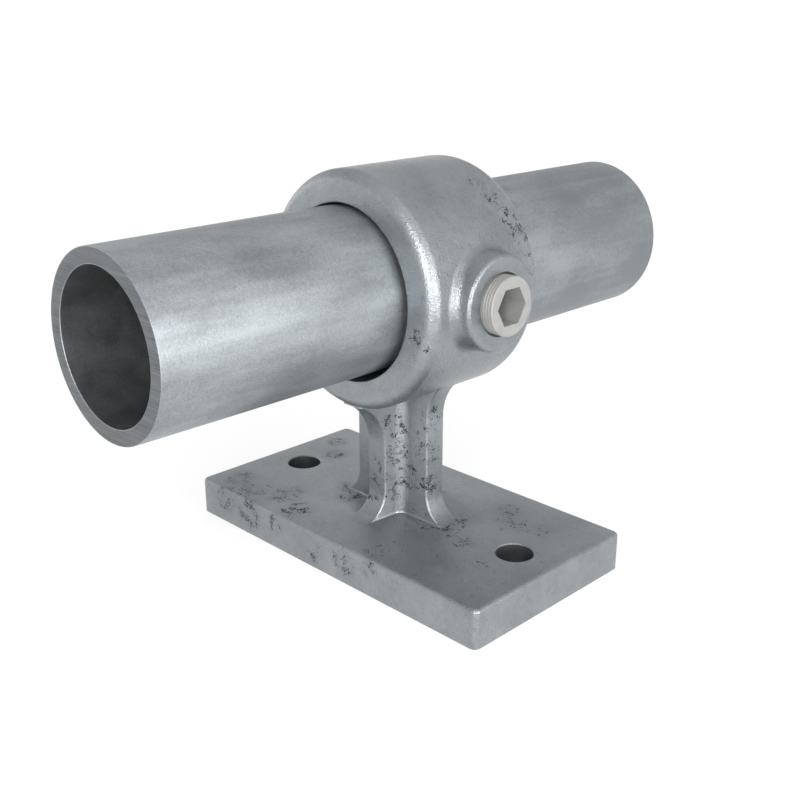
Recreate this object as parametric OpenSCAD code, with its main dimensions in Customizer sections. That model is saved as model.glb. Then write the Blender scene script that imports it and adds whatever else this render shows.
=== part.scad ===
// Handrail bracket: a cast clamp on a base plate, its set screw and the handrail tube it holds.
// X runs along the base plate towards the screw, Y along the handrail, Z up from the plate's underside.

/* [Base plate] */
// Length of the plate, across the handrail
plate_length = 121; // [110:1:160]
// Width of the plate, along the handrail
plate_width = 65; // [56:1:100]
// Thickness of the plate
plate_thickness = 11.8; // [9:0.1:16]
// Rounding of the four upright corners
plate_corner_r = 2; // [1:0.1:6]
// Rounding of the upper edges
plate_edge_r = 1.2; // [0.4:0.1:3]
// Distance from a bolt hole's centre to the plate's end
bolt_edge = 14; // [9:0.5:20]
// Diameter of a bolt hole, a clearance hole for an M10 bolt
bolt_hole_d = 11; // [9:0.5:13]

/* [Handrail tube] */
// Outside diameter of the tube
tube_od = 48.3; // [42.4:0.1:52]
// Wall thickness of the tube
tube_wall = 4.3; // [2.9:0.1:5.6]
// Length of tube shown
tube_length = 195; // [120:1:300]
// Chamfer that the saw cut leaves after deburring
tube_chamfer = 0.3; // [0.1:0.1:0.8]

/* [Collar] */
// Height of the collar's axis over the plate's underside
axis_height = 83.8; // [80:0.1:100]
// How much wider the bore is than the tube, on the diameter
bore_clearance = 2.1; // [0.8:0.1:3]
// Wall of the collar
collar_wall = 9; // [7:0.5:12]
// Width of the collar along the tube
collar_width = 45.2; // [44:0.2:56]
// Rounding of the collar's outer edges
collar_edge_r = 3.5; // [1:0.1:4.5]
// Rounding of the bore's edges
bore_edge_r = 0.5; // [0.2:0.1:1]
// Gap left where the screw has pushed the tube against the bore
seat_gap = 0.1; // [0.05:0.05:0.3]
// Direction in which the tube lies against the bore, from +X towards +Z
seat_angle = 157; // [150:1:200]

/* [Boss] */
// Diameter of the boss's flat face
boss_d = 27; // [24:0.5:30]
// How far the face stands out from the collar
boss_height = 4.8; // [3:0.1:8]
// Draft of the boss's side, for the casting to leave its mould
boss_draft = 5; // [1:1:8]
// Rounding round the face
boss_edge_r = 1.2; // [0.4:0.1:2]
// Fillet where the boss runs into the collar
boss_fillet_r = 3.3; // [2:0.1:4]

/* [Stem] */
// Thickness of the two crossed ribs
rib_thickness = 7.4; // [6:0.1:10]
// Rounding of the ribs' long edges
rib_edge_r = 0.7; // [0.3:0.1:1.5]
// Size of the cross along the plate, between its flares
cross_length = 29.8; // [26:0.2:34]
// Size of the cross along the handrail, between its flares
cross_width = 20.2; // [18:0.2:24]
// Fillet in the four inner corners of the cross
cross_fillet_r = 3.5; // [1:0.1:5]
// Flare of the rib ends into the plate
foot_flare_r = 8.5; // [4:0.5:10]
// Flare of the rib ends into the collar
head_flare_r = 15.6; // [12:0.2:16]
// Distance from the collar's face to where the flare under it ends
head_flare_inset = 2.6; // [2:0.1:4]

/* [Set screw] */
// Outside diameter of the thread, 3/8 inch pipe thread
screw_d = 16.66; // [14:0.01:18]
// Overall length of the screw
screw_length = 19; // [17:0.5:26]
// Chamfer round the end that stands out
screw_chamfer = 0.3; // [0.2:0.1:1]
// Chamfer at the screw's point, past the root of the thread
point_chamfer = 1.2; // [0.9:0.1:2]
// Width of the hexagon socket across its flats
socket_width = 10; // [8:1:10]
// Depth of the hexagon socket
socket_depth = 10; // [6:0.5:12]
// Diameter of the cup in the screw's point
cup_d = 9; // [6:0.5:11]
// Slope of the cup's wall, in degrees
cup_slope = 30; // [20:5:45]
// Gap between the screw's point and the tube
tip_gap = 0.1; // [0.05:0.05:0.3]
// How much wider the tapped hole is than the screw, on the diameter
thread_clearance = 0.34; // [0.2:0.02:0.6]
// Chamfer at the mouth of the tapped hole
hole_chamfer = 0.5; // [0.3:0.1:1]

/* [Hidden] */
$fn = 96;
cut = 1;          // how far a cut runs past the face it opens
bite = 0.15;      // how far a flare dips into the plate or collar it runs into
nick = 0.01;      // how far a rounding crosses the flat face it runs into
flare_shown = 0.9; // share of a foot flare that shows before it sinks into the plate
tube_r = tube_od / 2;
bore_r = tube_r + bore_clearance / 2;
collar_r = bore_r + collar_wall;
wall_mid_r = bore_r + collar_wall / 2;
boss_face_x = collar_r + boss_height;
hole_d = screw_d + thread_clearance;
seat_shift = bore_r - tube_r - seat_gap;
tube_x = seat_shift * cos(seat_angle);
tube_z = axis_height + seat_shift * sin(seat_angle);
tip_x = tube_x + sqrt(tube_r * tube_r - pow(tube_z - axis_height, 2)) + tip_gap;
root_z = plate_thickness / 2; // the stem starts inside the plate
foot_z = plate_thickness + foot_flare_r - bite; // the ribs run straight from here up

// Head flare of the ribs along the plate, which runs into the round of the collar
head_x = cross_length / 2 + head_flare_r;
round_head_z = axis_height - sqrt(pow(collar_r + head_flare_r - bite, 2) - head_x * head_x);
round_head_reach = head_x * collar_r / (collar_r + head_flare_r);
// Head flare of the ribs along the handrail, which meets the collar's underside near its rounded edge
head_y = cross_width / 2 + head_flare_r;
straight_head_reach = collar_width / 2 - head_flare_inset;
straight_head_z = axis_height - collar_r - sqrt(pow(head_flare_r, 2) - pow(head_y - straight_head_reach, 2));
// Top of the ribs before the collar's bore is kept clear of them
crown_z = axis_height - sqrt(pow(bore_r + collar_wall / 4, 2) - pow(round_head_reach, 2));

// Rectangle with rounded upper corners, standing on the X axis of its plane
module rounded_top(length, height, r) {
    translate([-length / 2, 0]) square([length, height - r]);
    translate([-length / 2 + r, 0]) square([length - 2 * r, height]);
    for (side = [-1, 1]) translate([side * (length / 2 - r), height - r]) circle(r);
}

module rounded_rectangle(length, width, r) {
    square([length, width - 2 * r], center = true);
    square([length - 2 * r, width], center = true);
    for (x = [-1, 1], y = [-1, 1]) translate([x * (length / 2 - r), y * (width / 2 - r)]) circle(r);
}

module base_plate() {
    intersection() {
        linear_extrude(plate_thickness) rounded_rectangle(plate_length, plate_width, plate_corner_r);
        rotate([90, 0, 0]) linear_extrude(plate_width + 2 * cut, center = true)
            rounded_top(plate_length, plate_thickness, plate_edge_r);
        rotate([90, 0, 90]) linear_extrude(plate_length + 2 * cut, center = true)
            rounded_top(plate_width, plate_thickness, plate_edge_r);
    }
}

// Side view of a rib before its ends are cut: a column with a wide foot and head
module rib_outline(half, head_z, head_reach) {
    column = half + cut / 2;
    foot = half + flare_shown * foot_flare_r;
    translate([-column, root_z]) square([2 * column, crown_z - root_z]);
    translate([-foot, root_z]) square([2 * foot, foot_z - root_z]);
    translate([-head_reach, head_z]) square([2 * head_reach, crown_z - head_z]);
}

// What is cut away in front of a rib's end at x: a strip, and the corners that the roundings take off
module end_section(x, strip) {
    side_y = rib_thickness / 2;
    round_y = side_y - rib_edge_r + nick;
    translate([x - strip, -side_y - cut]) square([strip, 2 * (side_y + cut)]);
    for (flip = [0, 1]) mirror([0, flip]) difference() {
        translate([x, round_y]) square([rib_edge_r, side_y + cut - round_y]);
        translate([x + rib_edge_r, round_y]) circle(rib_edge_r);
    }
}

// Shapes the rib's end that faces +X: a flare at the foot, a straight run, a flare at the head
module rib_end_cut(half, head_z) {
    translate([half + foot_flare_r, 0, foot_z]) rotate([90, 0, 0])
        rotate_extrude(angle = 90, start = 180) end_section(foot_flare_r, foot_flare_r);
    translate([half, 0, foot_z]) linear_extrude(head_z - foot_z) mirror([1, 0]) end_section(0, cut);
    translate([half + head_flare_r, 0, head_z]) rotate([90, 0, 0])
        rotate_extrude(angle = 90, start = 90) end_section(head_flare_r, head_flare_r);
}

module rib(half, head_z, head_reach) {
    difference() {
        rotate([90, 0, 0]) linear_extrude(rib_thickness, center = true)
            rib_outline(half, head_z, head_reach);
        for (flip = [0, 1]) mirror([flip, 0, 0]) rib_end_cut(half, head_z);
    }
}

// Fillets in the four inner corners where the ribs cross
module cross_fillets() {
    corner = rib_thickness / 2 + cross_fillet_r - nick;
    translate([0, 0, root_z]) linear_extrude(crown_z - root_z) difference() {
        square(2 * corner, center = true);
        for (x = [-1, 1], y = [-1, 1]) translate([x * corner, y * corner]) circle(cross_fillet_r);
    }
}

module stem() {
    difference() {
        union() {
            rib(cross_length / 2, round_head_z, round_head_reach);
            rotate([0, 0, 90]) rib(cross_width / 2, straight_head_z, straight_head_reach);
            cross_fillets();
        }
        wall_core();
    }
}

// Round the collar's axis up to the middle of its wall, where stem and boss end
module wall_core() {
    translate([0, 0, axis_height]) rotate([90, 0, 0])
        cylinder(r = wall_mid_r, h = plate_length, center = true);
}

// Half section of the collar: radius along X, width along Y
module collar_section() {
    half = collar_width / 2;
    difference() {
        translate([bore_r, -half]) square([collar_wall, collar_width]);
        for (side = [-1, 1]) {
            outer = [collar_r - collar_edge_r, side * (half - collar_edge_r)];
            inner = [bore_r + bore_edge_r, side * (half - bore_edge_r)];
            edge_cut(outer, [1, side], collar_edge_r);
            edge_cut(inner, [-1, side], bore_edge_r);
        }
    }
}

// What a rounding of radius r takes off a corner; centre is the rounding's centre
module edge_cut(centre, towards, r) {
    difference() {
        translate([centre.x + (towards.x < 0 ? -r - cut : 0), centre.y + (towards.y < 0 ? -r - cut : 0)])
            square(r + cut);
        translate(centre) circle(r);
    }
}

module collar() {
    translate([0, 0, axis_height]) rotate([90, 0, 0]) rotate_extrude() collar_section();
}

// Boss of the set screw: a drafted cone with a rounded rim
module boss() {
    face_r = boss_d / 2;
    base_r = face_r + boss_face_x * tan(boss_draft);
    difference() {
        translate([0, 0, axis_height]) rotate([0, 90, 0]) rotate_extrude()
            difference() {
                polygon([[0, 0], [base_r, 0], [face_r, boss_face_x], [0, boss_face_x]]);
                edge_cut([face_r - boss_edge_r, boss_face_x - boss_edge_r], [1, 1], boss_edge_r);
            }
        wall_core();
    }
}

// Fillet between the drafted boss and the round collar, as a ball rolling round the boss leaves it
fillet_steps = 96;
fillet_rings = 8;
fillet_depth = 1.7; // how deep the ring's hidden edge lies, in radii of the ball
sink = 0.04;        // how far the fillet's edges dip below the surfaces they meet
cone_slope = tan(boss_draft);
ball_to_axis = collar_r + boss_fillet_r - sink;
ball_cone_r = boss_d / 2 + boss_face_x * cone_slope + (boss_fillet_r - sink) / cos(boss_draft);
cone_normal = [sin(boss_draft), cos(boss_draft)];

// Distance of the ball's centre from the collar's axis along the boss, at angle a round the boss
function ball_x(a) =
    let (s2 = pow(sin(a), 2), p = 1 + s2 * cone_slope * cone_slope, q = s2 * ball_cone_r * cone_slope)
    (q + sqrt(q * q - p * (s2 * ball_cone_r * ball_cone_r - ball_to_axis * ball_to_axis))) / p;

function unit(v) = v / norm(v);

// Directions from the ball's centre to the points where it touches the boss and the collar
function to_boss(a) = -[cone_normal.x, cone_normal.y * cos(a), cone_normal.y * sin(a)];
function to_collar(c) = -unit([c.x, 0, c.z]);

function between(u, v, t) = let (w = acos(u * v)) (sin((1 - t) * w) * u + sin(t * w) * v) / sin(w);

function fillet_ring(a) =
    let (
        x = ball_x(a),
        r = ball_cone_r - x * cone_slope,
        c = [x, r * cos(a), r * sin(a)],
        u = to_boss(a),
        v = to_collar(c),
        arc = [for (i = [0:fillet_rings]) c + boss_fillet_r * between(u, v, i / fillet_rings)],
        heart = c + fillet_depth * boss_fillet_r * unit(u + v)
    )
    concat(arc, [heart]);

module boss_fillet() {
    n = fillet_rings + 2;
    points = [for (i = [0:fillet_steps - 1]) each fillet_ring(360 * i / fillet_steps)];
    faces = [
        for (i = [0:fillet_steps - 1], j = [0:n - 1])
            let (i2 = (i + 1) % fillet_steps, j2 = (j + 1) % n)
            each [
                [i * n + j, i * n + j2, i2 * n + j2],
                [i * n + j, i2 * n + j2, i2 * n + j]
            ]
    ];
    translate([0, 0, axis_height]) polyhedron(points, faces, convexity = 4);
}

module screw_hole() {
    length = boss_face_x + cut;
    translate([0, 0, axis_height]) rotate([0, 90, 0]) {
        cylinder(d = hole_d, h = length);
        translate([0, 0, boss_face_x - hole_chamfer])
            cylinder(d1 = hole_d, d2 = hole_d + 2 * (hole_chamfer + cut), h = hole_chamfer + cut);
    }
}

module bolt_holes() {
    for (side = [-1, 1]) translate([side * (plate_length / 2 - bolt_edge), 0, -cut])
        cylinder(d = bolt_hole_d, h = plate_thickness + 2 * cut);
}

module bracket_casting() {
    color("darkgray") difference() {
        union() {
            base_plate();
            stem();
            collar();
            boss();
            boss_fillet();
        }
        screw_hole();
        bolt_holes();
    }
}

module set_screw() {
    r = screw_d / 2;
    cup_depth = cup_d / 2 * tan(cup_slope);
    translate([tip_x, 0, axis_height]) rotate([0, 90, 0]) color("gainsboro") difference() {
        rotate_extrude() polygon([
            [0, cup_depth], [cup_d / 2, 0], [r - point_chamfer, 0], [r, point_chamfer],
            [r, screw_length - screw_chamfer], [r - screw_chamfer, screw_length], [0, screw_length]
        ]);
        translate([0, 0, screw_length - socket_depth]) rotate([0, 0, 90])
            cylinder(d = socket_width / cos(30), h = socket_depth + cut, $fn = 6);
    }
}

module handrail_tube() {
    inner_r = tube_r - tube_wall;
    end = tube_length / 2;
    c = tube_chamfer;
    translate([tube_x, 0, tube_z]) rotate([90, 0, 0]) color("silver") rotate_extrude() polygon([
        [inner_r, -end + c], [inner_r + c, -end], [tube_r - c, -end], [tube_r, -end + c],
        [tube_r, end - c], [tube_r - c, end], [inner_r + c, end], [inner_r, end - c]
    ]);
}

bracket_casting();
set_screw();
handrail_tube();
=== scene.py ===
# %% [markdown]
# # Handrail bracket
# A galvanised iron casting grips a length of steel tube: a base plate, a cross-shaped stem and a
# round collar in one piece, a hexagon socket set screw in the collar's boss, and the tube itself.
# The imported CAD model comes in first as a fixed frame. It settles every size and place, and the
# pieces made here stand in for its nodes with the finer forms that a photograph shows: the zinc's
# soft edges, the thread, the saw cut. All lengths are in metres, and MM turns millimetres into them.

import math

import bmesh
import bpy
from mathutils import Euler, Matrix, Vector


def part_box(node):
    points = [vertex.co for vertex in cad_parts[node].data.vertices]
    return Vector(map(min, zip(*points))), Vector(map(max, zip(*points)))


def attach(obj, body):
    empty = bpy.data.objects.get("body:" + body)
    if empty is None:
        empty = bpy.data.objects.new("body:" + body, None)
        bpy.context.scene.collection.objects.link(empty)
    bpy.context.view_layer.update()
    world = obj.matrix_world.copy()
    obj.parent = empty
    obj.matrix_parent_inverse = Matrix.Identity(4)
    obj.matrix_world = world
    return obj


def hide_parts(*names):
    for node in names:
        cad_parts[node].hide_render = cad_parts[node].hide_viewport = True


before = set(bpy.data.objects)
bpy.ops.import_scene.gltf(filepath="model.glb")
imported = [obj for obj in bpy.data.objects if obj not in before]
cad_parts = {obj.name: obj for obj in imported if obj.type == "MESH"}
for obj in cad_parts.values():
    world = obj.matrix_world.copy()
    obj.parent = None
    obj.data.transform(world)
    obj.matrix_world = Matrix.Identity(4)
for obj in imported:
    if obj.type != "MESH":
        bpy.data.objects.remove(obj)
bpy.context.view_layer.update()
MM = 0.001
# A length too small to matter, for merging points and for telling heights apart
HAIR = 0.001 * MM
print("nodes:", sorted(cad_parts))

# %% [markdown]
# ## Sizes
# Whatever the frame can tell is read from it, so that a changed CAD model carries its pieces along:
# the plate's length and width, the collar's reach and height, the tube's radius, length and axis,
# the screw's ends. Wall thicknesses, fillets and roundings lie inside a box and can't be read from
# one, so they are written in the cells below under the names that a pattern maker would use.

# %% Read the sizes from the frame
casting_low, casting_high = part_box("bracket_casting")
screw_low, screw_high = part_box("set_screw")
tube_low, tube_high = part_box("handrail_tube")

plate_length = casting_high.x - casting_low.x
plate_width = casting_high.y - casting_low.y
tube_radius = (tube_high.x - tube_low.x) / 2
tube_length = tube_high.y - tube_low.y
tube_x = (tube_high.x + tube_low.x) / 2
tube_z = (tube_high.z + tube_low.z) / 2
screw_radius = (screw_high.z - screw_low.z) / 2
axis_height = (screw_high.z + screw_low.z) / 2
collar_radius = casting_high.z - axis_height
print("collar radius in mm:", round(collar_radius / MM, 2))
print("axis height in mm:", round(axis_height / MM, 2))

# %% [markdown]
# ## The camera
# The photograph looks along the plate's diagonal from a little above. The camera stands where the
# plate's corners, the tube's ends and the screw fall on the same points as in the photograph. A turn
# given as bearing and height is easier to correct than a free one, because it never rolls the view.

# %% Camera
CAMERA_PLACE = (0.223015, -0.222427, 0.161346)
CAMERA_AZIMUTH = 45.078
CAMERA_ELEVATION = 20.051
LENS = 49.58
SENSOR_WIDTH = 36
CLIP_START = 0.01
camera_data = bpy.data.cameras.new("camera")
camera_data.lens = LENS
camera_data.sensor_width = SENSOR_WIDTH
camera_data.clip_start = CLIP_START
camera = bpy.data.objects.new("camera", camera_data)
camera.location = CAMERA_PLACE
camera.rotation_euler = Euler((math.radians(90 - CAMERA_ELEVATION), 0, math.radians(CAMERA_AZIMUTH)))
bpy.context.scene.collection.objects.link(camera)
bpy.context.scene.camera = camera
print("camera stands", round(camera.location.length / MM), "mm from the plate's middle")

# %% [markdown]
# ## From bmesh to object
# Every piece starts as a bmesh, is shaped by Blender's own operators and becomes an object at the
# origin, with its place in its mesh. Edges sharper than an angle stay sharp, and all others are
# shaded smooth. Most forms of this part are round about an axis, so the last helper does what a lathe
# does: it spins a profile once round that axis.

# %% Finish a mesh and turn a profile
SHARP_ANGLE = 30


def shade(obj):
    """Shade smooth, and keep the edges between clearly different faces sharp."""
    obj.data.shade_smooth()
    obj.data.set_sharp_from_angle(angle=math.radians(SHARP_ANGLE))


def finish_mesh(bm, name):
    """Turn a bmesh into an object, its doubles merged and its normals outward."""
    bmesh.ops.remove_doubles(bm, verts=bm.verts, dist=HAIR / 10)
    bmesh.ops.recalc_face_normals(bm, faces=bm.faces)
    mesh = bpy.data.meshes.new(name)
    bm.to_mesh(mesh)
    bm.free()
    obj = bpy.data.objects.new(name, mesh)
    bpy.context.scene.collection.objects.link(obj)
    shade(obj)
    print(name, "has", len(mesh.polygons), "faces")
    return obj


def turned(name, profile, steps, axis_point, axis, closed=False):
    """Spin a profile, a list of points, once round an axis."""
    bm = bmesh.new()
    verts = [bm.verts.new(p) for p in profile]
    chain = zip(verts, verts[1:] + (verts[:1] if closed else []))
    edges = [bm.edges.new(pair) for pair in chain]
    bmesh.ops.spin(
        bm, geom=verts + edges, cent=axis_point, axis=axis,
        angle=math.tau, steps=steps, use_merge=True,
    )
    return finish_mesh(bm, name)


# %% [markdown]
# ## The handrail tube
# A length of galvanised steel tube, sawn at both ends. A cylinder with a Solidify modifier would have
# the wall, but not the edges that a file broke when it took off the saw's burr. So the wall's section,
# a long thin rectangle with four small roundings, is drawn once and spun round the tube's axis. The
# tube lies a trace beside the collar's axis, because the screw pushes it against the bore.

# %% Handrail tube
TUBE_WALL = 4.3 * MM
TUBE_EDGE = 0.2 * MM
TUBE_EDGE_STEPS = 3
TUBE_SIDES = 192


def ring_section(inner, outer, half_length, x, z, inner_round, outer_round, steps, fall=0):
    """Points of a ring's section, rounded at its four corners, above the axis at x, z.

    The end faces fall back towards the rim by a share, fall, of the distance from the bore's edge.
    """
    corners = [
        (outer, half_length, outer_round, 0), (inner, half_length, inner_round, 90),
        (inner, -half_length, inner_round, 180), (outer, -half_length, outer_round, 270),
    ]
    points = []
    for radius, y, r, start in corners:
        side_r = 1 if start in (0, 270) else -1
        side_y = 1 if y > 0 else -1
        for i in range(steps + 1):
            a = math.radians(start + 90 * i / steps)
            out = radius - side_r * r + r * math.cos(a)
            back = side_y * fall * (out - inner)
            points.append((x, y - side_y * r + r * math.sin(a) - back, z + out))
    return points


tube = turned(
    "tube",
    ring_section(
        tube_radius - TUBE_WALL, tube_radius, tube_length / 2, tube_x, tube_z,
        TUBE_EDGE, TUBE_EDGE, TUBE_EDGE_STEPS,
    ),
    TUBE_SIDES, (tube_x, 0, tube_z), (0, 1, 0), closed=True,
)

# %% [markdown]
# ## The casting
# The real one is poured in one piece, and so is this: the plate, the collar, the stem and the boss are
# made one by one and fused into a single closed mesh. Each is given its own roundings before it is
# fused, because a bevel run over fused edges would tear on the flares.
#
# The base plate is a slab whose corners are rounded and whose top edge is softer than its underside.
# A cube is scaled to size and bevelled twice, first along its upright edges and then round its top,
# because one bevel can't have two widths.

# %% Base plate
PLATE_THICKNESS = 11.8 * MM
PLATE_CORNER = 2 * MM
PLATE_EDGE = 1.2 * MM
PLATE_EDGE_STEPS = 6


def round_off(bm, edges, radius):
    """Give some edges a round of this radius."""
    bmesh.ops.bevel(
        bm, geom=edges, offset=radius, offset_type="OFFSET", segments=PLATE_EDGE_STEPS,
        profile=0.5, affect="EDGES", material=-1,
    )


def base_plate():
    bm = bmesh.new()
    size = Matrix.Diagonal((plate_length, plate_width, PLATE_THICKNESS, 1))
    place = Matrix.Translation((0, 0, PLATE_THICKNESS / 2))
    bmesh.ops.create_cube(bm, size=1, matrix=place @ size)
    upright = [e for e in bm.edges if abs(e.verts[0].co.z - e.verts[1].co.z) > PLATE_THICKNESS / 2]
    round_off(bm, upright, PLATE_CORNER)
    top = [e for e in bm.edges if all(v.co.z > PLATE_THICKNESS - HAIR for v in e.verts)]
    round_off(bm, top, PLATE_EDGE)
    return finish_mesh(bm, "casting")


casting = base_plate()

# %% [markdown]
# The collar is turned from the same kind of ring section as the tube, with a large rounding outside,
# where the mould had to let go of it, and a small one inside, where the bore was machined. Its end
# faces fall back a little towards the rim, as cast faces do, so they catch the side light more than
# flat ones would.

# %% Collar
COLLAR_WALL = 9 * MM
COLLAR_WIDTH = 45.2 * MM
COLLAR_EDGE = 3.5 * MM
BORE_EDGE = 0.5 * MM
COLLAR_FALL = 0.09
COLLAR_EDGE_STEPS = 12
COLLAR_SIDES = 288
bore_radius = collar_radius - COLLAR_WALL
collar = turned(
    "collar",
    ring_section(
        bore_radius, collar_radius, COLLAR_WIDTH / 2, 0, axis_height,
        BORE_EDGE, COLLAR_EDGE, COLLAR_EDGE_STEPS, fall=COLLAR_FALL,
    ),
    COLLAR_SIDES, (0, 0, axis_height), (0, 1, 0), closed=True,
)

# %% [markdown]
# The stem is a cross of two ribs with hollow corners. Two crossed slabs with bevels in the corners
# would do for its middle, but not for its foot and head, where the ribs flare out. So the stem is made
# like a stack of plans: first comes the plan of the cross at one height, as a function of its sizes.
# It has three arcs in every quarter: the edge of a rib, the hollow corner, the edge of the next rib.

# %% Plan of the stem
RIB_THICKNESS = 7.4 * MM
RIB_EDGE = 0.7 * MM
RIB_EDGE_STEPS = 5
HOLLOW_STEPS = 14
# The ribs along the handrail slope by this angle, in degrees, and are this much thicker at their roots
CROSS_DRAFT = 12
ROOT_GAIN = 0.6 * MM


def cross_plan(length, width, thickness, hollow):
    """Plan of the cross from half its length, width and thickness and the radius of its hollow corners."""
    plain = thickness + hollow
    drafted = thickness + ROOT_GAIN + hollow * math.cos(math.radians(CROSS_DRAFT))
    points = []
    for quarter in range(4):
        if quarter % 2:
            first, second = width, length
            hub_x, hub_y, start, stop = plain, drafted, 270 - CROSS_DRAFT, 180
        else:
            first, second = length, width
            hub_x, hub_y, start, stop = drafted, plain, 270, 180 + CROSS_DRAFT
        arcs = (
            (first - RIB_EDGE, thickness - RIB_EDGE, RIB_EDGE, 0, 90, RIB_EDGE_STEPS),
            (hub_x, hub_y, hollow, start, stop, HOLLOW_STEPS),
            (thickness - RIB_EDGE, second - RIB_EDGE, RIB_EDGE, 0, 90, RIB_EDGE_STEPS),
        )
        turn = Matrix.Rotation(quarter * math.pi / 2, 3, "Z")
        for x, y, radius, begin, end, steps in arcs:
            for i in range(steps + 1):
                a = math.radians(begin + (end - begin) * i / steps)
                points.append(turn @ Vector((x + radius * math.cos(a), y + radius * math.sin(a), 0)))
    return points


# %% [markdown]
# The ribs grow longer towards the plate and towards the collar, each along a quarter circle or a part
# of one. At the foot the growth begins one radius above the plate. At the head it begins where the
# collar asks for it: the ribs along the plate run tangent into the collar's round, and the ribs along
# the handrail meet its straight underside, just where its rounded edge begins. Both heights follow from
# a triangle, so the flares stay smooth when a size changes.

# %% Flares of the stem
CROSS_LENGTH = 29.8 * MM
CROSS_WIDTH = 20.2 * MM
CROSS_FILLET = 3.5 * MM
FOOT_FLARE = 8.5 * MM
FOOT_FILLET = 0.6 * MM
HEAD_FLARE = 15.6 * MM
# How far the flares bite into the plate and the collar, because a fuse needs more than touching faces
BITE = 0.05 * MM
# How far inside the collar's end faces the ribs along the handrail end
HEAD_INSET = 2.6 * MM


def flare(radius, depth):
    """How far a flare of this radius has grown at a depth past its beginning."""
    depth = min(max(depth, 0), radius)
    return radius - math.sqrt(radius ** 2 - depth ** 2)


foot_z = PLATE_THICKNESS - BITE
foot_top = foot_z + FOOT_FLARE
half_length = CROSS_LENGTH / 2
half_width = CROSS_WIDTH / 2
# The ribs along the plate, from the triangle between the collar's axis and the flare's centre
round_x = half_length + HEAD_FLARE
round_z = axis_height - math.sqrt((collar_radius + HEAD_FLARE - BITE) ** 2 - round_x ** 2)
round_turn = math.atan2(axis_height - round_z, round_x)
round_top = round_z + HEAD_FLARE * math.sin(round_turn)
# The ribs along the handrail, from where they reach on the collar's underside
under_x = half_width + HEAD_FLARE
under_reach = COLLAR_WIDTH / 2 - HEAD_INSET
under_rise = math.sqrt(HEAD_FLARE ** 2 - (under_x - under_reach) ** 2)
under_turn = math.atan2(under_rise, under_x - under_reach)
under_top = axis_height - collar_radius + BITE
under_z = under_top - under_rise
print("head flares begin in mm at", round(round_z / MM, 2), "and", round(under_z / MM, 2))

# %% [markdown]
# Now the stack. The plan at the bottom is a face, its edge is extruded ring by ring, and each ring
# takes the plan of its height. The rings lie closer together where a flare is nearly level. A number on
# each vertex says which point of the plan it is, and an extruded vertex inherits it. The stem ends
# inside the collar's wall, where the fuse will swallow its end.

# %% Stem
FOOT_RINGS = 20
HEAD_RINGS = 16
HEAD_LIFT = 0.5 * MM


def stem_plan(z):
    """The plan of the stem at a height."""
    grown = flare(FOOT_FLARE, foot_top - z)
    thicker = flare(FOOT_FILLET, foot_z + FOOT_FILLET - z)
    length = half_length + grown + flare(HEAD_FLARE, min(z, round_top) - round_z)
    width = half_width + grown + flare(HEAD_FLARE, min(z, under_top) - under_z)
    points = cross_plan(length, width, RIB_THICKNESS / 2 + thicker, CROSS_FILLET - thicker)
    return [Vector((p.x, p.y, z)) for p in points]


def stem_heights():
    """Heights of the rings from the middle of the plate to the inside of the collar's wall."""
    foot_angles = [math.pi / 2 * i / FOOT_RINGS for i in range(FOOT_RINGS + 1)]
    heights = [foot_top - FOOT_FLARE * math.cos(a) for a in foot_angles]
    for low, turn in ((round_z, round_turn), (under_z, under_turn)):
        head_angles = [turn * i / HEAD_RINGS for i in range(HEAD_RINGS + 1)]
        heights += [low + HEAD_FLARE * math.sin(a) for a in head_angles]
    chosen = [PLATE_THICKNESS / 2]
    for z in sorted(heights):
        if z - chosen[-1] > BITE / 3:
            chosen.append(z)
    return chosen + [round_top + HEAD_LIFT]


def stem():
    bm = bmesh.new()
    spot = bm.verts.layers.int.new("spot")
    heights = stem_heights()
    start = [bm.verts.new(point) for point in stem_plan(heights[0])]
    for i, vert in enumerate(start):
        vert[spot] = i
    ring = list(bm.faces.new(start).edges)
    for z in heights[1:]:
        grown = bmesh.ops.extrude_edge_only(bm, edges=ring)["geom"]
        ring = [e for e in grown if isinstance(e, bmesh.types.BMEdge)]
        plan = stem_plan(z)
        for vert in {v for e in ring for v in e.verts}:
            vert.co = plan[vert[spot]]
    bmesh.ops.contextual_create(bm, geom=ring)
    bm.verts.layers.int.remove(spot)
    print("stem has", len(heights), "rings")
    return finish_mesh(bm, "stem")


cross = stem()

# %% [markdown]
# The boss carries the set screw. Its rim is rounded, its side drafted, and it runs into the collar in
# a fillet. Because the collar is round, no turned shape fits that fillet: it has the form that a
# ball leaves when it rolls round the boss, touching both. The first cell works out the two curves: the
# rim, which is the same all round, and the fillet, which differs from angle to angle.

# %% Curves of the boss
BOSS_RADIUS = 13.5 * MM
BOSS_HEIGHT = 4.8 * MM
BOSS_EDGE = 1.2 * MM
BOSS_FILLET = 3.3 * MM
BOSS_DRAFT = math.radians(5)
# How far the ball sinks into both surfaces, so that the fillet crosses them and doesn't just touch
SINK = 0.03 * MM
boss_face_x = collar_radius + BOSS_HEIGHT


def boss_rim(t):
    """Distance along the boss's axis and from it, for a share t of the rounded rim."""
    turn = t * (math.pi / 2 - BOSS_DRAFT)
    centre_r = BOSS_RADIUS + BOSS_EDGE * (math.tan(BOSS_DRAFT) - 1 / math.cos(BOSS_DRAFT))
    return boss_face_x - BOSS_EDGE * (1 - math.cos(turn)), centre_r + BOSS_EDGE * math.sin(turn)


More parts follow.
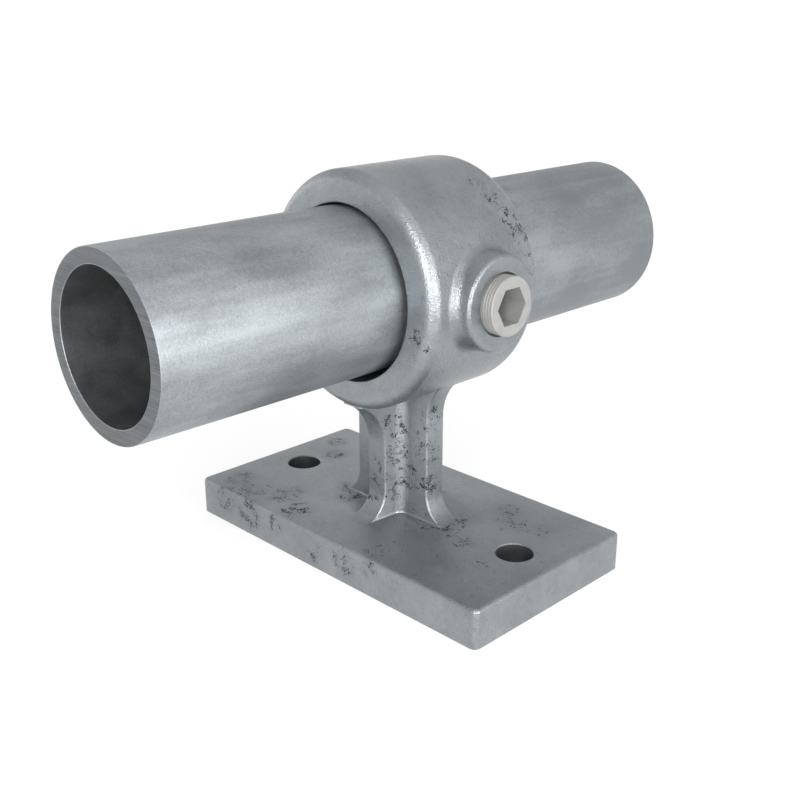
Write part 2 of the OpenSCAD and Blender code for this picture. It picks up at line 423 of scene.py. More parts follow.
def boss_fillet(angle, t):
    """Point on the fillet at an angle round the boss, for a share t of the way to the collar."""
    slope = math.tan(BOSS_DRAFT)
    cone = BOSS_RADIUS + boss_face_x * slope + (BOSS_FILLET - SINK) / math.cos(BOSS_DRAFT)
    reach = collar_radius + BOSS_FILLET - SINK
    # The ball's centre lies on a cone round the boss and on a cylinder round the collar: a quadratic in x
    s = math.sin(angle) ** 2
    p = 1 + s * slope ** 2
    q = s * cone * slope
    x = (q + math.sqrt(q * q - p * (s * cone ** 2 - reach ** 2))) / p
    r = cone - x * slope
    centre = Vector((x, r * math.cos(angle), r * math.sin(angle)))
    to_boss = -Vector((
        math.sin(BOSS_DRAFT), math.cos(BOSS_DRAFT) * math.cos(angle), math.cos(BOSS_DRAFT) * math.sin(angle),
    ))
    to_collar = -Vector((centre.x, 0, centre.z)).normalized()
    return centre + BOSS_FILLET * to_boss.slerp(to_collar, t)


fillet_ends = [(boss_fillet(angle, 1) - boss_fillet(angle, 0)).length / MM for angle in (0, math.pi / 2)]
print("fillet is wide in mm:", [round(width, 2) for width in fillet_ends], "beside and above the boss")

# %% [markdown]
# The boss starts as a disc, its edge is extruded ring by ring, and each ring is moved to where the
# rim or the rolled ball lies at that angle. Two more rings lead inside the collar's wall and close the
# solid there, because a fuse needs closed ones.

# %% Boss
BOSS_SIDES = 192
RIM_RINGS = 8
FILLET_RINGS = 14
wall_middle = collar_radius - COLLAR_WALL / 2


def boss_solid():
    bm = bmesh.new()
    face = Matrix.Translation((boss_face_x, 0, 0)) @ Matrix.Rotation(math.pi / 2, 4, "Y")
    bmesh.ops.create_circle(bm, cap_ends=True, radius=boss_rim(0)[1], segments=BOSS_SIDES, matrix=face)
    edge = [e for e in bm.edges if len(e.link_faces) == 1]

    def next_ring(place):
        nonlocal edge
        grown = bmesh.ops.extrude_edge_only(bm, edges=edge)["geom"]
        edge = [e for e in grown if isinstance(e, bmesh.types.BMEdge)]
        for v in {v for e in edge for v in e.verts}:
            v.co = place(math.atan2(v.co.z, v.co.y), v.co)

    def rim_place(t):
        x, r = boss_rim(t)
        return lambda angle, co: Vector((x, r * math.cos(angle), r * math.sin(angle)))

    for i in range(RIM_RINGS):
        next_ring(rim_place((i + 1) / RIM_RINGS))
    for i in range(FILLET_RINGS + 1):
        next_ring(lambda angle, co, t=i / FILLET_RINGS: boss_fillet(angle, t))
    next_ring(lambda angle, co: Vector((math.sqrt(wall_middle ** 2 - co.z ** 2), co.y, co.z)))
    next_ring(lambda angle, co: Vector((wall_middle, 0, 0)))
    bmesh.ops.translate(bm, verts=bm.verts, vec=(0, 0, axis_height))
    return finish_mesh(bm, "boss")


boss = boss_solid()

# %% [markdown]
# ## Fuse and drill
# The solids are joined, and holes cut, with the exact boolean. It keeps every form sharp where a voxel
# remesh would blur it, at the price that it wants closed solids and likes triangles better than wide
# faces. The modifier is evaluated at once and its result kept as a plain mesh, so that the order of
# the cuts is the order of the calls.

# %% Fuse and cut
def split_wide_faces(obj):
    """Cut every face of more than four corners into triangles, which the boolean handles best."""
    bm = bmesh.new()
    bm.from_mesh(obj.data)
    wide = [f for f in bm.faces if len(f.verts) > 4]
    bmesh.ops.triangulate(bm, faces=wide, quad_method="BEAUTY", ngon_method="BEAUTY")
    bm.to_mesh(obj.data)
    bm.free()


def fuse(obj, tool, how="UNION"):
    """Join tool to obj, or cut it away, or keep what both share. The tool is used up."""
    split_wide_faces(obj)
    split_wide_faces(tool)
    boolean = obj.modifiers.new("join", "BOOLEAN")
    boolean.operation = how
    boolean.solver = "EXACT"
    boolean.object = tool
    bpy.context.view_layer.update()
    evaluated = obj.evaluated_get(bpy.context.evaluated_depsgraph_get())
    mesh = bpy.data.meshes.new_from_object(evaluated)
    obj.modifiers.clear()
    old = obj.data
    obj.data = mesh
    bpy.data.meshes.remove(old)
    bpy.data.objects.remove(tool)


# %% [markdown]
# The drills are turned cutters: two clearance holes for the base bolts with a broken edge on top, and
# the hole for the screw with the small countersink that keeps its first thread from tearing. The boss
# is joined to the collar before the screw's hole goes through both, and the collar then comes onto
# the plate and its stem.

# %% Drill and join
BOLT_HOLE = 5.5 * MM
BOLT_EDGE_DISTANCE = 14 * MM
HOLE_EDGE = 0.3 * MM
BOLT_HOLE_SIDES = 96
SCREW_CLEARANCE = 0.17 * MM
COUNTERSINK = 0.5 * MM
SCREW_HOLE_SIDES = 128


def bolt_drill(x):
    """A bolt hole with its broken top edge, as one turned cutter."""
    past = 2 * MM
    profile = [
        (x, 0, -past), (x + BOLT_HOLE, 0, -past), (x + BOLT_HOLE, 0, PLATE_THICKNESS - HOLE_EDGE),
        (x + BOLT_HOLE + HOLE_EDGE + past, 0, PLATE_THICKNESS + past), (x, 0, PLATE_THICKNESS + past),
    ]
    return turned("bolt_drill", profile, BOLT_HOLE_SIDES, (x, 0, 0), (0, 0, 1))


def screw_drill():
    """The screw's hole and its countersink, as one turned cutter."""
    radius = screw_radius + SCREW_CLEARANCE
    past = 5 * MM
    inside = bore_radius - past
    profile = [
        (inside, 0, axis_height), (inside, 0, axis_height + radius),
        (boss_face_x - COUNTERSINK, 0, axis_height + radius),
        (boss_face_x + past, 0, axis_height + radius + COUNTERSINK + past),
        (boss_face_x + past, 0, axis_height),
    ]
    return turned("screw_drill", profile, SCREW_HOLE_SIDES, (0, 0, axis_height), (1, 0, 0))


for side in (-1, 1):
    fuse(casting, bolt_drill(side * (plate_length / 2 - BOLT_EDGE_DISTANCE)), "DIFFERENCE")
fuse(casting, cross)
fuse(collar, boss)
fuse(collar, screw_drill(), "DIFFERENCE")
fuse(casting, collar)
shade(casting)
print("casting has", len(casting.data.polygons), "faces after fusing")

# %% [markdown]
# ## The set screw
# It is cut from bar: a chamfered blank with a real thread, a cup at its point and a hexagon socket in
# its face. A bump would do for the thread from afar, but the part is looked at closely, and the thread
# shows at the screw's outline. One pitch of its section is spun once round the axis and moves on by a
# pitch on the way, so that copies of that turn, a pitch apart, join into one helix. The rod is then
# cut square a little past both ends of the screw.

# %% Thread
THREAD_PITCH = 0.92 * MM
THREAD_DEPTH = 0.28 * MM
# Points of the thread's section: along it in pitches, and below its crest in depths
THREAD_SECTION = [(0, 1), (0.2, 0.15), (0.3, 0), (0.7, 0), (0.8, 0.15), (1, 1)]
# How far the rod starts before the screw's point and is cut past its two ends, in pitches
LEAD_IN = 1.6
PAST_POINT = 0.5
PAST_FACE = 0.3
SCREW_SIDES = 96


def thread():
    """A threaded rod a little longer than the screw, round the screw's axis."""
    start = screw_low.x - LEAD_IN * THREAD_PITCH
    turns = math.ceil((screw_high.x - start) / THREAD_PITCH) + 1
    crest = axis_height + screw_radius
    bm = bmesh.new()
    verts = [
        bm.verts.new((start + along * THREAD_PITCH, 0, crest - below * THREAD_DEPTH))
        for along, below in THREAD_SECTION
    ]
    edges = [bm.edges.new(pair) for pair in zip(verts, verts[1:])]
    bmesh.ops.spin(
        bm, geom=verts + edges, cent=(0, 0, axis_height), axis=(1, 0, 0),
        dvec=(THREAD_PITCH / SCREW_SIDES, 0, 0), angle=math.tau, steps=SCREW_SIDES,
    )
    first_turn = bm.verts[:] + bm.edges[:] + bm.faces[:]
    for k in range(1, turns):
        copy = bmesh.ops.duplicate(bm, geom=first_turn)["geom"]
        copied = [v for v in copy if isinstance(v, bmesh.types.BMVert)]
        bmesh.ops.translate(bm, verts=copied, vec=(k * THREAD_PITCH, 0, 0))
    bmesh.ops.remove_doubles(bm, verts=bm.verts, dist=HAIR)
    cuts = ((screw_low.x - PAST_POINT * THREAD_PITCH, -1), (screw_high.x + PAST_FACE * THREAD_PITCH, 1))
    for x, side in cuts:
        bmesh.ops.bisect_plane(
            bm, geom=bm.verts[:] + bm.edges[:] + bm.faces[:],
            plane_co=(x, 0, 0), plane_no=(side, 0, 0), clear_outer=True,
        )
        open_edges = [e for e in bm.edges if len(e.link_faces) == 1]
        rim = [e for e in open_edges if all(abs(v.co.x - x) < HAIR for v in e.verts)]
        bmesh.ops.contextual_create(bm, geom=rim)
    print("thread has", turns, "turns before it is cut")
    return finish_mesh(bm, "screw")


screw = thread()

# %% [markdown]
# What the rod has in common with a turned blank is the threaded screw, chamfered and cupped, and the
# hexagon is then cut out of its face. The blank is a trace wider than the rod, so that it takes off
# the crests only at the chamfers.

# %% Blank and socket
SCREW_CHAMFER = 0.3 * MM
POINT_CHAMFER = 1.2 * MM
BLANK_GAIN = 0.05 * MM
CUP_RADIUS = 4.5 * MM
CUP_SLOPE = math.radians(30)
SOCKET_WIDTH = 10 * MM
SOCKET_DEPTH = 10 * MM


def screw_blank():
    """The screw's bar, chamfered at both ends, with the cup at its point."""
    radius = screw_radius + BLANK_GAIN
    profile = [
        (screw_low.x + CUP_RADIUS * math.tan(CUP_SLOPE), 0), (screw_low.x, CUP_RADIUS),
        (screw_low.x, screw_radius - POINT_CHAMFER), (screw_low.x + POINT_CHAMFER, radius),
        (screw_high.x - SCREW_CHAMFER, radius), (screw_high.x, screw_radius - SCREW_CHAMFER),
        (screw_high.x, 0),
    ]
    points = [(x, 0, r + axis_height) for x, r in profile]
    return turned("screw_blank", points, SCREW_SIDES, (0, 0, axis_height), (1, 0, 0))


def hexagon():
    """The socket, as a six-sided cutter with corners towards both ends of the handrail."""
    bm = bmesh.new()
    across_corners = SOCKET_WIDTH / math.cos(math.pi / 6)
    past = 2 * MM
    turn = Matrix.Rotation(math.pi / 2, 4, "Y")
    place = Matrix.Translation((screw_high.x - SOCKET_DEPTH / 2 + past / 2, 0, axis_height))
    bmesh.ops.create_cone(
        bm, cap_ends=True, segments=6, radius1=across_corners / 2, radius2=across_corners / 2,
        depth=SOCKET_DEPTH + past, matrix=place @ turn,
    )
    return finish_mesh(bm, "socket")


fuse(screw, screw_blank(), "INTERSECT")
fuse(screw, hexagon(), "DIFFERENCE")
shade(screw)
print("screw has", len(screw.data.polygons), "faces after cutting")

# %% [markdown]
# ## Finishes
# Each finish is a node tree that reads noise in the piece's own coordinates, so it stays put when the
# part is turned or exported. The nodes are the same few kinds every time, and this small class gives
# each of them one short call. Sizes are in metres, so a speck can be asked for by its real width.
# Noise seldom leaves the middle of its range, which is why the finishes below spread a span such as
# 0.38 to 0.62 over the whole way from one colour to the other.

# %% A finish and its nodes
class Finish:
    """A material and the few kinds of node that its pattern is built from."""

    def __init__(self, name, metallic):
        self.material = bpy.data.materials.new(name)
        self.material.use_nodes = True
        self.tree = self.material.node_tree
        self.shader = self.tree.nodes["Principled BSDF"]
        self.shader.inputs["Metallic"].default_value = metallic
        self.place = self.node("ShaderNodeTexCoord").outputs["Object"]

    def node(self, kind, **settings):
        """Add a node and set its properties."""
        made = self.tree.nodes.new(kind)
        for key, value in settings.items():
            setattr(made, key, value)
        return made

    def feed(self, socket, value):
        """Link a socket to another one, or give it a plain value."""
        if isinstance(value, bpy.types.NodeSocket):
            self.tree.links.new(value, socket)
        else:
            socket.default_value = value

    def noise(self, size, detail=3, rough=0.5, stretch=(1, 1, 1), turn=(0, 0, 0), twist=0):
        """Noise with features of about this size, drawn out along the axes by stretch."""
        mapping = self.node("ShaderNodeMapping")
        self.feed(mapping.inputs["Vector"], self.place)
        mapping.inputs["Rotation"].default_value = [math.radians(a) for a in turn]
        mapping.inputs["Scale"].default_value = [1 / (size * s) for s in stretch]
        texture = self.node("ShaderNodeTexNoise")
        self.feed(texture.inputs["Vector"], mapping.outputs["Vector"])
        texture.inputs["Scale"].default_value = 1
        texture.inputs["Detail"].default_value = detail
        texture.inputs["Roughness"].default_value = rough
        texture.inputs["Distortion"].default_value = twist
        return texture.outputs["Fac"]

    def calc(self, operation, a, b):
        """One step of arithmetic."""
        made = self.node("ShaderNodeMath", operation=operation)
        self.feed(made.inputs[0], a)
        self.feed(made.inputs[1], b)
        return made.outputs[0]

    def blend(self, *shares):
        """Weighted sum of outputs, given as pairs of weight and output."""
        total = self.calc("MULTIPLY", shares[0][1], shares[0][0])
        for weight, output in shares[1:]:
            total = self.calc("ADD", total, self.calc("MULTIPLY", output, weight))
        return total

    def span(self, value, low, high, to_low=0.0, to_high=1.0):
        """Spread low to high over to_low to to_high, and hold it there outside."""
        made = self.node("ShaderNodeMapRange")
        for socket, number in zip(made.inputs, (value, low, high, to_low, to_high)):
            self.feed(socket, number)
        return made.outputs["Result"]

    def tint(self, share, first, second):
        """Mix two colours."""
        made = self.node("ShaderNodeMix", data_type="RGBA")
        sockets = {s.identifier: s for s in made.inputs}
        self.feed(sockets["Factor_Float"], share)
        self.feed(sockets["A_Color"], first)
        self.feed(sockets["B_Color"], second)
        return {s.identifier: s for s in made.outputs}["Result_Color"]

    def near(self, centre, radius):
        """1 within half a radius of a point, fading to 0 at the radius."""
        made = self.node("ShaderNodeVectorMath", operation="DISTANCE")
        self.feed(made.inputs[0], self.place)
        made.inputs[1].default_value = centre
        return self.span(made.outputs["Value"], 0.5 * radius, radius, 1.0, 0.0)

    def bump(self, height, depth, onto=None):
        """Lift the surface by depth where height is 1."""
        made = self.node("ShaderNodeBump")
        made.inputs["Strength"].default_value = 1
        made.inputs["Distance"].default_value = depth
        self.feed(made.inputs["Height"], height)
        if onto:
            self.feed(made.inputs["Normal"], onto)
        return made.outputs["Normal"]

    def finish(self, colour, roughness, normal):
        """Feed the shader, and return the material."""
        for name, output in (("Base Color", colour), ("Roughness", roughness), ("Normal", normal)):
            self.feed(self.shader.inputs[name], output)
        print(self.material.name, "has", len(self.tree.nodes), "nodes")
        return self.material


# %% [markdown]
# The casting was dipped in molten zinc. The coat is smooth, with faint clouds and a sandy grain that
# sparkles where light grazes it. In places the coat is thin or scarred, and small black pits show in
# clusters: on the stem, round its foot, on the plate, along the collar's rear edge and low on its front
# one. Noise alone would scatter them evenly, so the clusters lie at chosen places, as balls whose
# inside counts as worn.

# %% Where the zinc is worn
# Centre and reach of every cluster, in millimetres
WORN_COLLAR = [
    (19, 12, 114, 5), (23, 13, 110, 5), (27, 15, 105, 6), (30, 17, 99, 6), (33, 18, 91, 5),
    (28, -22, 77, 4), (31, -20, 74, 2.5),
]
WORN_STEM = [
    (4, -7, 41, 7), (9, -3.7, 40, 6), (5, -5.5, 33, 7), (8, -4, 25, 7), (4, -7, 20, 6), (13, -3.7, 34, 6),
    (15, -2, 45, 7), (15, -2, 34, 6), (15, -2, 24, 6), (0, -10, 44, 6), (0, -10, 26, 7), (-2, -10, 17, 5),
]
WORN_PLATE_TOP = [
    (17, -4, 12, 7), (25, -2, 12, 7), (32, -6, 12, 6), (10, -7, 13, 5), (22, 5, 12, 6),
    (34, 14, 12, 8), (42, 16, 12, 6), (28, 20, 12, 6), (-14, -8, 12, 6), (-20, -3, 12, 6),
    (-50, -24, 12, 8), (-40, -27, 12, 9), (-30, -22, 12, 9), (-20, -26, 12, 8), (18, -27, 12, 6),
    (-44, 12, 12, 6), (-52, 20, 12, 5), (44, -12, 12, 4),
]
WORN_PLATE_SIDE = [
    (-48, -32, 8, 8), (-36, -32, 7, 9), (-22, -32, 8, 6), (9, -32, 7, 7), (-3, -32, 5, 6), (20, -32, 9, 5),
]
WORN = WORN_COLLAR + WORN_STEM + WORN_PLATE_TOP + WORN_PLATE_SIDE
print(len(WORN), "clusters of pits")

# %% [markdown]
# The colour of the clean zinc is a blend of three noises, from clouds down to grain. A pit shows where
# a fine noise is high, and inside a cluster a coarser one lifts it over that limit in patches, so the
# pits crowd together as they do on the real coat. Worn zinc is also rougher, and the pits are sunk.

# %% Zinc on the casting
ZINC_DARK = (0.215, 0.231, 0.241, 1)
ZINC_LIGHT = (0.300, 0.322, 0.336, 1)
PIT_COLOUR = (0.04, 0.043, 0.042, 1)
ZINC_CLOUD = 16 * MM
ZINC_MOTTLE = 2.4 * MM
ZINC_GRAIN = 0.42 * MM
PIT_SPECK = 0.5 * MM
PIT_PATCH = 2.6 * MM
# How far a cluster lifts the speck noise, and where in that noise a pit begins and is full
PIT_CROWDING = 0.27
PIT_BEGINS = 0.68
PIT_FULL = 0.76
# What each kind of wear adds to the roughness
ROUGH_WORN = 0.16
ROUGH_PIT = 0.2
ROUGH_SAND = 0.9
SWELL = 6 * MM
SWELL_HEIGHT = 0.02 * MM
GRAIN_HEIGHT = 0.15 * MM
PIT_DEPTH = 0.06 * MM


def cast_zinc():
    zinc = Finish("cast_zinc", metallic=0.8)
    cloud = zinc.noise(ZINC_CLOUD, detail=3)
    mottle = zinc.noise(ZINC_MOTTLE, detail=4, rough=0.6)
    grain = zinc.noise(ZINC_GRAIN, detail=2)
    tone = zinc.blend((0.4, cloud), (0.25, mottle), (0.35, grain))
    clean = zinc.tint(zinc.span(tone, 0.38, 0.62), ZINC_DARK, ZINC_LIGHT)

    worn = 0.0
    for x, y, z, reach in WORN:
        worn = zinc.calc("MAXIMUM", worn, zinc.near((x * MM, y * MM, z * MM), reach * MM))
    speck = zinc.noise(PIT_SPECK, detail=4, rough=0.7)
    patch = zinc.span(zinc.noise(PIT_PATCH, detail=4, rough=0.6), 0.36, 0.66)
    scarred = zinc.calc("MULTIPLY", worn, patch)
    pit = zinc.span(zinc.blend((1, speck), (PIT_CROWDING, scarred)), PIT_BEGINS, PIT_FULL)
    pit = zinc.calc("MULTIPLY", pit, zinc.span(worn, 0.05, 0.3))
    colour = zinc.tint(pit, clean, PIT_COLOUR)

    sand = zinc.calc("MULTIPLY", worn, zinc.calc("SUBTRACT", grain, 0.5))
    coarse = zinc.blend((ROUGH_WORN, worn), (ROUGH_PIT, pit), (ROUGH_SAND, sand))
    roughness = zinc.calc("ADD", zinc.span(mottle, 0.35, 0.65, 0.27, 0.33), coarse)

    skin = zinc.bump(zinc.noise(SWELL, detail=2), SWELL_HEIGHT)
    skin = zinc.bump(grain, GRAIN_HEIGHT, skin)
    skin = zinc.bump(zinc.calc("SUBTRACT", 1.0, pit), PIT_DEPTH, skin)
    return zinc.finish(colour, roughness, skin)


casting_coat = cast_zinc()

# %% [markdown]
# The tube's zinc came from another bath. It has soft clouds, streaks drawn out along the tube and a
# spangle of fine flecks. Towards its far end it is duller, and its colour is painted darker there as
# painted shade, which a distance from that end tells.

# %% Zinc on the tube
TUBE_DARK = (0.205, 0.222, 0.232, 1)
TUBE_LIGHT = (0.350, 0.377, 0.394, 1)
TUBE_CLOUD = 13 * MM
TUBE_STREAK = 3 * MM
TUBE_FLECK = 0.7 * MM
FLECK_HEIGHT = 0.035 * MM
FAR_SHADE_AND_DULL_REACH = 90 * MM
PAINTED_FAR_SHADE = 0.35
DULL_ROUGHNESS = 0.1


def tube_zinc():
    zinc = Finish("tube_zinc", metallic=0.8)
    cloud = zinc.noise(TUBE_CLOUD, detail=4, rough=0.55, stretch=(1, 2, 1))
    streak = zinc.noise(TUBE_STREAK, detail=3, stretch=(1, 12, 1))
    fleck = zinc.noise(TUBE_FLECK, detail=5, rough=0.7, twist=1.8)
    tone = zinc.blend((0.35, cloud), (0.15, streak), (0.5, fleck))
    # Painted shade: the colour darkens towards the far end, where the tube shows less of the lamps'
    # highlight; the roughness rises there too
    far_shade_and_dull = zinc.near((tube_x, tube_high.y, tube_z), FAR_SHADE_AND_DULL_REACH)
    bright = zinc.blend((1, zinc.span(tone, 0.41, 0.59)), (-PAINTED_FAR_SHADE, far_shade_and_dull))
    colour = zinc.tint(bright, TUBE_DARK, TUBE_LIGHT)
    roughness = zinc.blend((1, zinc.span(cloud, 0.35, 0.65, 0.38, 0.48)), (DULL_ROUGHNESS, far_shade_and_dull))
    return zinc.finish(colour, roughness, zinc.bump(fleck, FLECK_HEIGHT))


tube_coat = tube_zinc()

# %% [markdown]
# Both ends of the tube are sawn through the coat, so they show bare steel with the saw's parallel
# scratches: noise drawn out fifty times along one axis and turned to the angle of the cut.

# %% Sawn steel
SAWN_DARK = (0.088, 0.094, 0.098, 1)
SAWN_LIGHT = (0.178, 0.188, 0.197, 1)
SAW_SCRATCH = 0.2 * MM
SAW_BAND = 2.5 * MM
SCRATCH_DEPTH = 0.03 * MM
SAW_TURN = (0, 22, 0)


def sawn_steel():
    steel = Finish("sawn_steel", metallic=0.6)
    scratch = steel.noise(SAW_SCRATCH, detail=3, rough=0.6, stretch=(50, 1, 1), turn=SAW_TURN)
    band = steel.noise(SAW_BAND, detail=2, stretch=(20, 1, 1), turn=SAW_TURN)
    tone = steel.blend((0.65, scratch), (0.35, band))
    colour = steel.tint(steel.span(tone, 0.36, 0.64), SAWN_DARK, SAWN_LIGHT)
    roughness = steel.span(band, 0.3, 0.7, 0.42, 0.55)
    return steel.finish(colour, roughness, steel.bump(scratch, SCRATCH_DEPTH))


cut_face = sawn_steel()

# %% [markdown]
# Inside the tube and inside the drilled holes the metal is painted dark, as painted shade for these
# recesses, with a thin uneven film and fine dust in its pattern. The same recipe serves both, once under a
# name for each.

# %% Dark bores as painted shade
BORE_SHADE_DARK = (0.030, 0.031, 0.032, 1)
BORE_SHADE_LIGHT = (0.060, 0.063, 0.065, 1)
BORE_FILM = 7 * MM
BORE_DUST = 0.6 * MM
DUST_HEIGHT = 0.03 * MM


def painted_bore_shade(name):
    bore = Finish(name, metallic=0.3)
    film = bore.noise(BORE_FILM, detail=3)
    dust = bore.noise(BORE_DUST, detail=3, rough=0.6)
    tone = bore.blend((0.6, film), (0.4, dust))
    # Painted shade: both colours are near black, darker than the lamps would leave these recesses
    colour = bore.tint(bore.span(tone, 0.36, 0.64), BORE_SHADE_DARK, BORE_SHADE_LIGHT)
    roughness = bore.span(film, 0.35, 0.65, 0.5, 0.62)
    return bore.finish(colour, roughness, bore.bump(dust, DUST_HEIGHT))


drilled_wall_shade = painted_bore_shade("drilled")
tube_bore_shade = painted_bore_shade("tube_bore_shade")

# %% [markdown]
# The set screw has a pale, matt plating with no pattern of its own. A faint haze and a fine grain keep
# it from looking like plastic.

# %% Plating of the screw
PLATING_DARK = (0.250, 0.251, 0.242, 1)
PLATING_LIGHT = (0.297, 0.299, 0.288, 1)
PLATING_HAZE = 3 * MM
PLATING_GRAIN = 0.35 * MM
PLATING_HEIGHT = 0.008 * MM


def matt_plating():
    plating = Finish("matt_plating", metallic=0.15)
    haze = plating.noise(PLATING_HAZE, detail=3)
    grain = plating.noise(PLATING_GRAIN, detail=2)
    tone = plating.blend((0.6, haze), (0.4, grain))
    colour = plating.tint(plating.span(tone, 0.36, 0.64), PLATING_DARK, PLATING_LIGHT)
    roughness = plating.span(haze, 0.35, 0.65, 0.48, 0.58)
    return plating.finish(colour, roughness, plating.bump(grain, PLATING_HEIGHT))


screw_plating = matt_plating()

# %% [markdown]
# A mesh face finds its finish by where it lies and where it looks. The casting's bolt holes and screw
# hole are drilled, and dark inside with painted shade. On the tube, the flat ends are sawn and the
# inner wall is the bore, painted dark with shade too.

# %% Give every face its finish
# A trace more than a hole's radius, and the limits for faces that look up or along the tube
TRACE = 0.02 * MM
LEVEL = 0.999
LOOKS_ALONG = 0.98
LOOKS_ACROSS = 0.2


def assign(obj, finishes, pick):
    """Give obj its finishes, and every face the one that pick names by its number."""
    for finish in finishes:
        obj.data.materials.append(finish)
    counts = [0] * len(finishes)
    for face in obj.data.polygons:
        face.material_index = pick(face.center, face.normal)
        counts[face.material_index] += 1
    print(obj.name, "faces per finish:", dict(zip((f.name for f in finishes), counts)))


def in_a_hole(centre, normal):
    """1 on the walls of the casting's drilled holes, 0 elsewhere."""
    from_bolt = math.hypot(abs(centre.x) - (plate_length / 2 - BOLT_EDGE_DISTANCE), centre.y)
    in_bolt_hole = centre.z < PLATE_THICKNESS and from_bolt < BOLT_HOLE + TRACE
    from_screw = math.hypot(centre.y, centre.z - axis_height)
    in_screw_hole = centre.x > 0 and from_screw < screw_radius + SCREW_CLEARANCE + TRACE
    return int((in_bolt_hole or in_screw_hole) and abs(normal.z) < LEVEL)


def along_the_tube(centre, normal):
    """1 on the sawn ends, 2 in the bore, 0 outside and on the filed edges."""
    if abs(normal.y) > LOOKS_ALONG:
        return 1
    inner = tube_radius - TUBE_WALL + TRACE
    in_bore = math.hypot(centre.x - tube_x, centre.z - tube_z) < inner
    return 2 if in_bore and abs(normal.y) < LOOKS_ACROSS else 0


assign(casting, [casting_coat, drilled_wall_shade], in_a_hole)
assign(tube, [tube_coat, cut_face, tube_bore_shade], along_the_tube)
assign(screw, [screw_plating], lambda centre, normal: 0)

# %% [markdown]
# ## Floor and light
# The part stands in a photographer's cove: a pale floor that turns up into a wall all round, so there
# is no line behind the part from any side. Its section is a straight line and a quarter circle, spun
# round the upright axis. Sizes here are in metres.

# %% Cove
COVE_RADIUS = 10
COVE_SWEEP = 2
SWEEP_STEPS = 16
COVE_SIDES = 96


def cove():
    bm = bmesh.new()
    middle = bm.verts.new((0, 0, 0))
    edge = bm.verts.new((COVE_RADIUS, 0, 0))
    bm.edges.new((middle, edge))
    bmesh.ops.spin(
        bm, geom=[edge], cent=(COVE_RADIUS, 0, COVE_SWEEP), axis=(0, -1, 0),
        angle=math.pi / 2, steps=SWEEP_STEPS,
    )
    bmesh.ops.spin(
        bm, geom=bm.verts[:] + bm.edges[:], cent=(0, 0, 0), axis=(0, 0, 1),
        angle=math.tau, steps=COVE_SIDES, use_merge=True,
    )
    made = finish_mesh(bm, "floor")
    made.data.flip_normals()
    return made


floor = cove()

# %% [markdown]
# What the camera and the reflections see of the cove is mostly its own white, so the background is
# even, and the rest is true shading, which keeps the faint shadow under the part. Near the part the
# lamps add more, so its own white is a little less there. For all other light the cove is paper.
# More light would turn the background white as well, but it would wash out the part with it.

# %% Paper of the cove
PAPER = 0.85
SHADED_SHARE = 0.3
OWN_WHITE = 0.89
WHITE_CLOSE_BY = 0.87
# Distances from the part, in metres, between which the paper's own white grows to its full strength
CLOSE_BY = 0.4
FAR_AWAY = 2.5


def grey_diffuse(tree, level):
    """A matt surface of an even grey."""
    shader = tree.nodes.new("ShaderNodeBsdfDiffuse")
    shader.inputs["Color"].default_value = (level, level, level, 1)
    return shader


def paper():
    sheet = bpy.data.materials.new("paper")
    sheet.use_nodes = True
    tree = sheet.node_tree
    tree.nodes.clear()
    light_path = tree.nodes.new("ShaderNodeLightPath")
    seen = light_path.outputs["Is Camera Ray"]
    for kind in ("Is Glossy Ray", "Is Transmission Ray"):
        either = tree.nodes.new("ShaderNodeMath")
        either.operation = "MAXIMUM"
        tree.links.new(seen, either.inputs[0])
        tree.links.new(light_path.outputs[kind], either.inputs[1])
        seen = either.outputs[0]
    place = tree.nodes.new("ShaderNodeTexCoord")
    away = tree.nodes.new("ShaderNodeVectorMath")
    away.operation = "LENGTH"
    tree.links.new(place.outputs["Object"], away.inputs[0])
    level = tree.nodes.new("ShaderNodeMapRange")
    tree.links.new(away.outputs["Value"], level.inputs[0])
    for socket, number in zip(level.inputs[1:5], (CLOSE_BY, FAR_AWAY, WHITE_CLOSE_BY, 1)):
        socket.default_value = number
    white = tree.nodes.new("ShaderNodeEmission")
    tree.links.new(level.outputs[0], white.inputs["Color"])
    white.inputs["Strength"].default_value = OWN_WHITE
    both = tree.nodes.new("ShaderNodeAddShader")
    tree.links.new(grey_diffuse(tree, PAPER * SHADED_SHARE).outputs[0], both.inputs[0])
    tree.links.new(white.outputs[0], both.inputs[1])
    choose = tree.nodes.new("ShaderNodeMixShader")
    tree.links.new(seen, choose.inputs[0])
    tree.links.new(grey_diffuse(tree, PAPER).outputs[0], choose.inputs[1])
    tree.links.new(both.outputs[0], choose.inputs[2])
    output = tree.nodes.new("ShaderNodeOutputMaterial")
    tree.links.new(choose.outputs[0], output.inputs["Surface"])
    return sheet


floor.data.materials.append(paper())
print("floor is stage, its own white", OWN_WHITE)

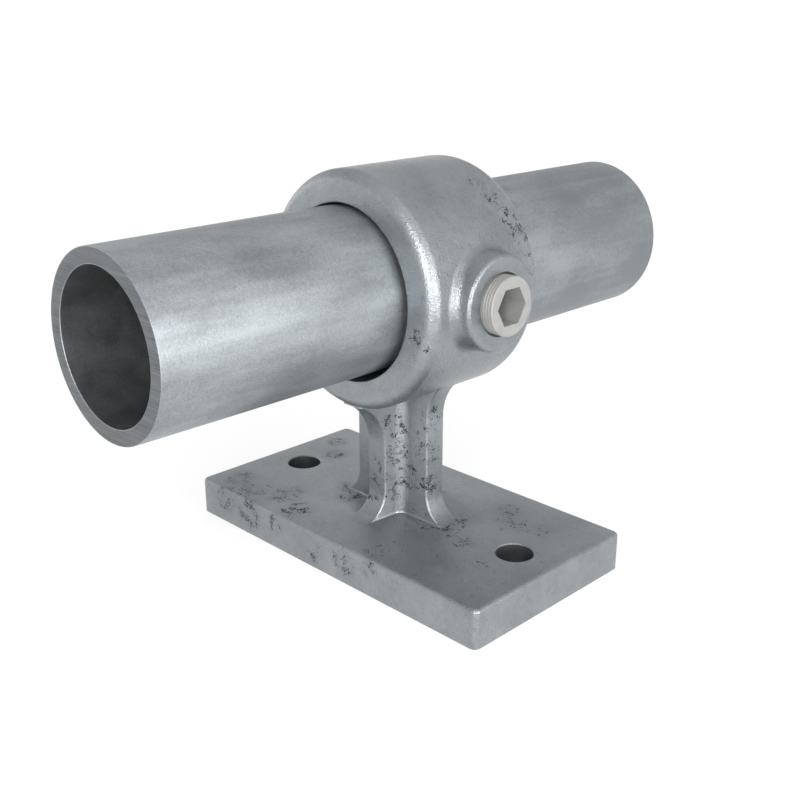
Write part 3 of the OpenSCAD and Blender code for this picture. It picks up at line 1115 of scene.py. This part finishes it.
# %% [markdown]
# The light is a studio's. A tall strip close by, beside the camera, draws the bright bands along the
# tube, the collar's edge and the boss. A low box to the right lights the faces that look that way,
# with a wider and weaker one round it and a broad one above. A small box high up lifts the top, and a
# weak one behind lights the back. The sky of the studio is even and dim.
# Each box is placed by its bearing and height as seen from the part, and given the brightness of its
# face, so its power follows from its size: a box can be made larger without making it brighter.

# %% Light
AIM_HEIGHT = 0.07
STUDIO_SKY = 0.74


def soft_box(name, bearing, height, width, tall, brightness, distance=1.6):
    """A rectangular lamp that looks at the part, bearing and height in degrees, the rest in metres."""
    data = bpy.data.lights.new(name, "AREA")
    data.shape = "RECTANGLE"
    data.size = width
    data.size_y = tall
    data.energy = brightness * math.pi * width * tall
    lamp = bpy.data.objects.new(name, data)
    out = Vector((distance, 0, 0))
    out.rotate(Euler((0, -math.radians(height), math.radians(bearing))))
    lamp.location = out
    lamp.rotation_euler = (Vector((0, 0, AIM_HEIGHT)) - out).to_track_quat("-Z", "Y").to_euler()
    lamp.visible_camera = False
    bpy.context.scene.collection.objects.link(lamp)
    print(name, "gives", round(data.energy, 2), "W")


soft_box("strip", -52, 22.5, 0.155, 0.5, 10.6, distance=0.6)
soft_box("low_box", -7, 7.5, 0.42, 0.42, 8.4)
soft_box("low_wide", -7, 7.5, 1.25, 0.42, 5.4, distance=1.62)
soft_box("side_box", 8, 30, 1.1, 0.83, 1.9)
soft_box("high_box", 0, 67.5, 0.32, 0.42, 3.2)
soft_box("back_fill", 195, 12, 1.2, 0.5, 1.1)

world = bpy.data.worlds.new("studio")
world.use_nodes = True
sky = world.node_tree.nodes["Background"]
sky.inputs["Color"].default_value = (1, 1, 1, 1)
sky.inputs["Strength"].default_value = STUDIO_SKY
bpy.context.scene.world = world
bpy.context.scene.view_settings.view_transform = "Standard"

# %% [markdown]
# ## Hand the pieces over
# Nothing moves on this part, so each piece rides on the one fixed body. It stands in for its CAD node,
# which is hidden.

# %% Hand over
for piece, node, slot in (
    (casting, "bracket_casting", "casting"), (screw, "set_screw", "screw"), (tube, "handrail_tube", "tube"),
):
    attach(piece, "root")
    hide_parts(node)
    print(piece.name, "stands for", node)
